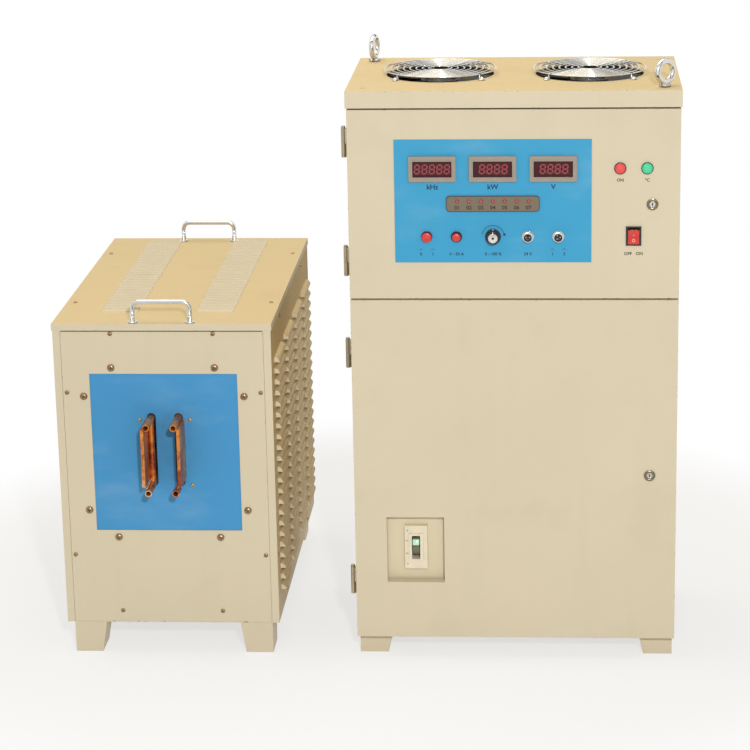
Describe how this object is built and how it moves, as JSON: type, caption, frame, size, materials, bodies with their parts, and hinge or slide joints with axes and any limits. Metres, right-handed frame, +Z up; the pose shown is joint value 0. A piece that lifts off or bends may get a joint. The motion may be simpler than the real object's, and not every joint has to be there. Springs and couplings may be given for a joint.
{
  "type": "induction heating machine",
  "caption": "Floor-standing induction heater: a power cabinet with hinged doors, control panel and roof fans, beside a louvred transformer head with copper coil terminals.",
  "frame": {"origin": "centre of the whole machine's footprint, on the floor", "axes": "+X from the head cabinet to the power cabinet, +Y from the fronts to the backs, +Z up"},
  "size_m": [1.0844, 0.756, 1.056],
  "materials": {
    "cream_paint": "textured powder coat, satin",
    "panel_film": "printed polycarbonate film, fine grain",
    "board_laminate": "painted insulating laminate",
    "chrome_steel": "bright plated",
    "zinc_steel": "zinc plated, lightly brushed",
    "dark_casting": "black painted casting",
    "black_plastic": "moulded, fine grain",
    "bezel_plastic": "moulded, satin",
    "display_window": "tinted, clear gloss",
    "strip_metal": "anodised",
    "red_plastic": "moulded gloss",
    "red_lens": "translucent lens",
    "green_lens": "translucent lens",
    "breaker_plastic": "moulded thermoset",
    "handle_plastic": "moulded",
    "plain_aluminium": "machined",
    "capacitor_can": "sleeved can",
    "circuit_board": "solder mask",
    "hose_brass": "turned",
    "tarnished_copper": "tarnished, brazed",
    "core_iron": "varnished laminations",
    "tank_case": "moulded case"
  },
  "bodies": {
    "cabinet": {"cabinet_side_left": "cream_paint", "cabinet_side_right": "cream_paint", "cabinet_back": "cream_paint", "cabinet_floor": "cream_paint", "cabinet_shelf": "cream_paint", "cabinet_header": "cream_paint", "cabinet_lid": "cream_paint", "cabinet_feet": "cream_paint", "breaker_plate": "cream_paint", "head_floor": "cream_paint", "head_feet": "cream_paint", "head_side_left": "cream_paint", "head_side_right": "cream_paint", "head_back": "cream_paint", "head_lid": "cream_paint", "head_front": "cream_paint", "insulating_board": "board_laminate", "fan_guards": "chrome_steel", "carry_handles": "chrome_steel", "lifting_eyes": "chrome_steel", "hinge_fixed_leaves": "zinc_steel", "hinge_pins": "zinc_steel", "fan_housings": "dark_casting", "cable_glands": "black_plastic", "breaker_body": "breaker_plastic", "inverter_stack": "plain_aluminium", "bus_capacitors": "capacitor_can", "control_board": "circuit_board", "hose_tails": "hose_brass", "terminal_left": "tarnished_copper", "terminal_right": "tarnished_copper", "transformer_winding": "tarnished_copper", "transformer_core": "core_iron", "tank_capacitors": "tank_case"},
    "fan_left": {"fan_rotor_left": "black_plastic"},
    "fan_right": {"fan_rotor_right": "black_plastic"},
    "upper_door": {"upper_door": "cream_paint", "control_panel": "panel_film", "panel_meters": "bezel_plastic", "meter_windows": "display_window", "status_strip": "strip_metal", "panel_collars": "chrome_steel", "potentiometer": "zinc_steel", "socket_two_pin": "chrome_steel", "socket_three_pin": "chrome_steel", "power_lamp": "red_lens", "heating_lamp": "green_lens", "rocker_frame": "black_plastic", "upper_lock_barrel": "chrome_steel", "hinge_upper_leaves": "zinc_steel"},
    "lower_door": {"lower_door": "cream_paint", "lower_lock_barrel": "chrome_steel", "hinge_lower_leaves": "zinc_steel"},
    "start_button": {"start_button": "red_plastic"},
    "stop_button": {"stop_button": "red_plastic"},
    "power_knob": {"power_knob": "black_plastic"},
    "power_rocker": {"power_rocker": "red_plastic"},
    "upper_lock_cam": {"upper_lock_cam": "chrome_steel"},
    "lower_lock_cam": {"lower_lock_cam": "chrome_steel"},
    "breaker_handle": {"breaker_handle": "handle_plastic"}
  },
  "joints": [
    {"name": "fan_left_spin", "type": "hinge", "parent": "cabinet", "child": "fan_left", "pos_m": [0.13375, -0.15, 0.98], "axis": [0, 0, 1], "continuous": true},
    {"name": "fan_right_spin", "type": "hinge", "parent": "cabinet", "child": "fan_right", "pos_m": [0.39075, -0.15, 0.98], "axis": [0, 0, 1], "continuous": true},
    {"name": "upper_door_swing", "type": "hinge", "parent": "cabinet", "child": "upper_door", "pos_m": [-0.02225, -0.316, 0.81525], "axis": [0, 0, -1], "range_deg": [0, 120]},
    {"name": "lower_door_swing", "type": "hinge", "parent": "cabinet", "child": "lower_door", "pos_m": [-0.02225, -0.316, 0.345], "axis": [0, 0, -1], "range_deg": [0, 120]},
    {"name": "start_button_press", "type": "slide", "parent": "upper_door", "child": "start_button", "axis": [0, 1, 0], "range_m": [0, 0.003], "stiffness_N_per_m": 300},
    {"name": "stop_button_press", "type": "slide", "parent": "upper_door", "child": "stop_button", "axis": [0, 1, 0], "range_m": [0, 0.003], "stiffness_N_per_m": 300},
    {"name": "power_knob_turn", "type": "hinge", "parent": "upper_door", "child": "power_knob", "pos_m": [0.22774, -0.34, 0.76125], "axis": [0, 1, 0], "range_deg": [0, 300]},
    {"name": "power_rocker_tilt", "type": "hinge", "parent": "upper_door", "child": "power_rocker", "pos_m": [0.46325, -0.326, 0.76175], "axis": [-1, 0, 0], "range_deg": [0, 20]},
    {"name": "upper_lock_turn", "type": "hinge", "parent": "upper_door", "child": "upper_lock_cam", "pos_m": [0.49425, -0.33, 0.81625], "axis": [0, -1, 0], "range_deg": [0, 90]},
    {"name": "lower_lock_turn", "type": "hinge", "parent": "lower_door", "child": "lower_lock_cam", "pos_m": [0.49425, -0.33, 0.3396], "axis": [0, -1, 0], "range_deg": [0, 90]},
    {"name": "breaker_handle_tilt", "type": "hinge", "parent": "cabinet", "child": "breaker_handle", "pos_m": [0.08925, -0.294, 0.201], "axis": [1, 0, 0], "range_deg": [0, 40]}
  ]
}
